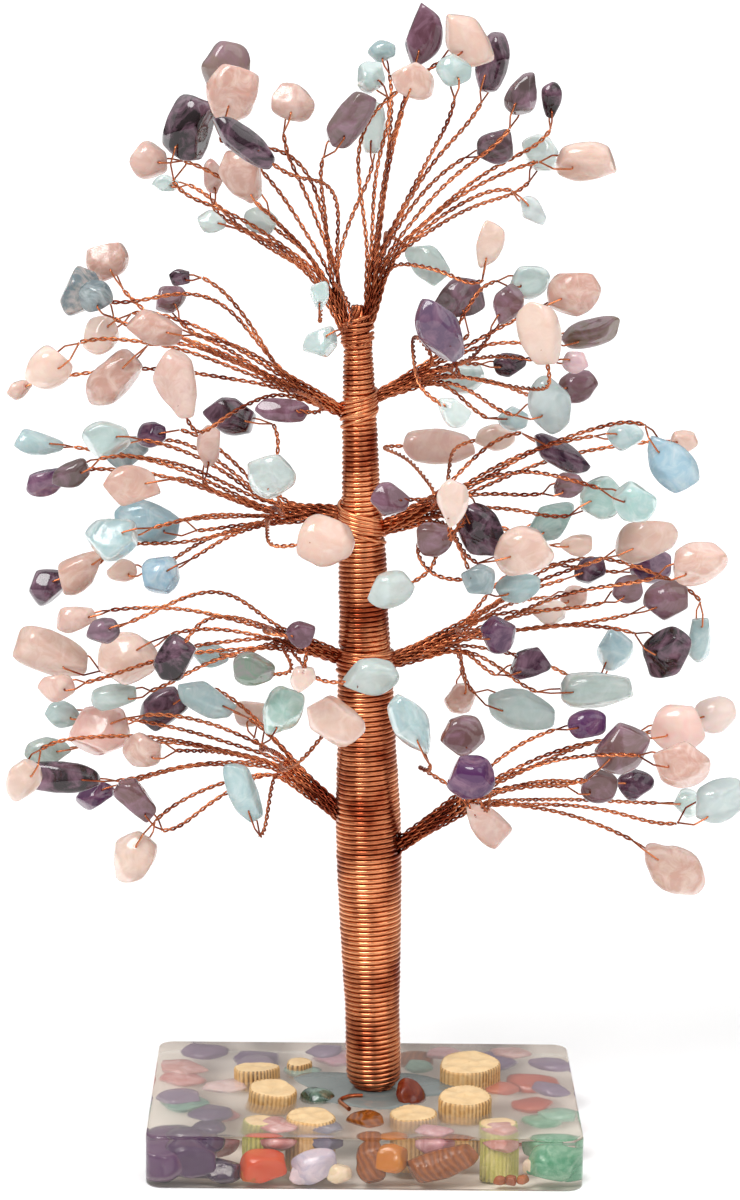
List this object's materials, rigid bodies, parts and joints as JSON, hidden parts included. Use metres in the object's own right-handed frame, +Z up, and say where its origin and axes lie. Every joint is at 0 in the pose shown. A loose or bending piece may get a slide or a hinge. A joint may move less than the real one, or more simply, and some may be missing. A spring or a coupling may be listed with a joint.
{
  "type": "gemstone tree ornament",
  "caption": "Copper wire tree with tumbled gemstone chips as leaves, its wound trunk cast in a rectangular clear resin slab with stones; branches can be spread by hand.",
  "frame": {"origin": "middle of the slab's underside, where the ornament stands", "axes": "+Z up along the trunk, +X to the right along the slab's long side, -Y towards the viewer of the picture"},
  "size_m": [0.1599, 0.0789, 0.2476],
  "materials": {
    "resin": "clear cast resin, glossy",
    "copper": "bare copper wire, bright with darker hollows",
    "rose_quartz": "tumbled, glossy, translucent pink",
    "amethyst": "tumbled, glossy, purple to near black",
    "aquamarine": "tumbled, glossy, pale blue-green to clear",
    "carnelian": "tumbled, orange-red",
    "tiger_eye": "tumbled, golden brown",
    "aventurine": "tumbled, green",
    "ribbed_stone": "cream and yellow, ribbed"
  },
  "bodies": {
    "trunk": {"resin_slab": "resin", "cast_amethyst": "amethyst", "cast_carnelian": "carnelian", "cast_rose": "rose_quartz", "cast_tiger_eye": "tiger_eye", "cast_aventurine": "aventurine", "ribbed_slices": "ribbed_stone", "trunk_core": "copper", "trunk_wrap_foot": "copper", "trunk_wrap_lower": "copper", "trunk_wrap_middle": "copper", "trunk_wrap_waist": "copper", "trunk_wrap_neck": "copper", "trunk_wrap_top": "copper", "foot_wire_tail": "copper"},
    "leader_left": {"leader_left_wires": "copper", "leader_left_rose_quartz": "rose_quartz", "leader_left_dark_quartz": "amethyst", "leader_left_aquamarine": "aquamarine"},
    "leader_right": {"leader_right_wires": "copper", "leader_right_rose_quartz": "rose_quartz", "leader_right_dark_quartz": "amethyst", "leader_right_aquamarine": "aquamarine"},
    "upper_left": {"upper_left_wires": "copper", "upper_left_rose_quartz": "rose_quartz", "upper_left_dark_quartz": "amethyst", "upper_left_aquamarine": "aquamarine"},
    "upper_right": {"upper_right_wires": "copper", "upper_right_rose_quartz": "rose_quartz", "upper_right_dark_quartz": "amethyst", "upper_right_aquamarine": "aquamarine"},
    "middle_left": {"middle_left_wires": "copper", "middle_left_rose_quartz": "rose_quartz", "middle_left_dark_quartz": "amethyst", "middle_left_aquamarine": "aquamarine"},
    "middle_right": {"middle_right_wires": "copper", "middle_right_rose_quartz": "rose_quartz", "middle_right_dark_quartz": "amethyst", "middle_right_aquamarine": "aquamarine"},
    "lower_left": {"lower_left_wires": "copper", "lower_left_rose_quartz": "rose_quartz", "lower_left_dark_quartz": "amethyst", "lower_left_aquamarine": "aquamarine"},
    "lower_right": {"lower_right_wires": "copper", "lower_right_rose_quartz": "rose_quartz", "lower_right_dark_quartz": "amethyst", "lower_right_aquamarine": "aquamarine"},
    "bottom_left": {"bottom_left_wires": "copper", "bottom_left_rose_quartz": "rose_quartz", "bottom_left_dark_quartz": "amethyst", "bottom_left_aquamarine": "aquamarine"},
    "bottom_right": {"bottom_right_wires": "copper", "bottom_right_rose_quartz": "rose_quartz", "bottom_right_dark_quartz": "amethyst", "bottom_right_aquamarine": "aquamarine"},
    "lone_chip_left": {"lone_chip_left": "rose_quartz"},
    "lone_chip_right": {"lone_chip_right": "rose_quartz"}
  },
  "joints": [
    {"name": "leader_left_spread", "type": "hinge", "parent": "trunk", "child": "leader_left", "pos_m": [-0.00549, -0.00039, 0.17819], "axis": [0, 0, 1], "range_deg": [-10, 10]},
    {"name": "leader_right_spread", "type": "hinge", "parent": "trunk", "child": "leader_right", "pos_m": [-0.00117, -0.00038, 0.18003], "axis": [0, 0, 1], "range_deg": [-10, 10]},
    {"name": "upper_left_spread", "type": "hinge", "parent": "trunk", "child": "upper_left", "pos_m": [-0.00556, 0, 0.16153], "axis": [0, 0, 1], "range_deg": [-10, 10]},
    {"name": "upper_right_spread", "type": "hinge", "parent": "trunk", "child": "upper_right", "pos_m": [-0.00009, 0.00048, 0.16449], "axis": [0, 0, 1], "range_deg": [-10, 10]},
    {"name": "middle_left_spread", "type": "hinge", "parent": "trunk", "child": "middle_left", "pos_m": [-0.00542, 0.0006, 0.13998], "axis": [0, 0, 1], "range_deg": [-10, 10]},
    {"name": "middle_right_spread", "type": "hinge", "parent": "trunk", "child": "middle_right", "pos_m": [0.00179, -0.00065, 0.13653], "axis": [0, 0, 1], "range_deg": [-10, 10]},
    {"name": "lower_left_spread", "type": "hinge", "parent": "trunk", "child": "lower_left", "pos_m": [-0.0056, -0.0004, 0.10854], "axis": [0, 0, 1], "range_deg": [-10, 10]},
    {"name": "lower_right_spread", "type": "hinge", "parent": "trunk", "child": "lower_right", "pos_m": [0.00376, 0.00041, 0.10731], "axis": [0, 0, 1], "range_deg": [-10, 10]},
    {"name": "bottom_left_spread", "type": "hinge", "parent": "trunk", "child": "bottom_left", "pos_m": [-0.00573, 0.00083, 0.07328], "axis": [0, 0, 1], "range_deg": [-10, 10]},
    {"name": "bottom_right_spread", "type": "hinge", "parent": "trunk", "child": "bottom_right", "pos_m": [0.00631, -0.00083, 0.06673], "axis": [0, 0, 1], "range_deg": [-10, 10]},
    {"name": "lone_chip_left_turn", "type": "hinge", "parent": "bottom_left", "child": "lone_chip_left", "pos_m": [-0.04909, 0, 0.06626], "axis": [0.2676, 0.9511, -0.1545], "range_deg": [-25, 25]},
    {"name": "lone_chip_right_turn", "type": "hinge", "parent": "bottom_right", "child": "lone_chip_right", "pos_m": [0.06305, 0, 0.06463], "axis": [-0.0472, 0.9966, -0.0675], "range_deg": [-25, 25]}
  ]
}
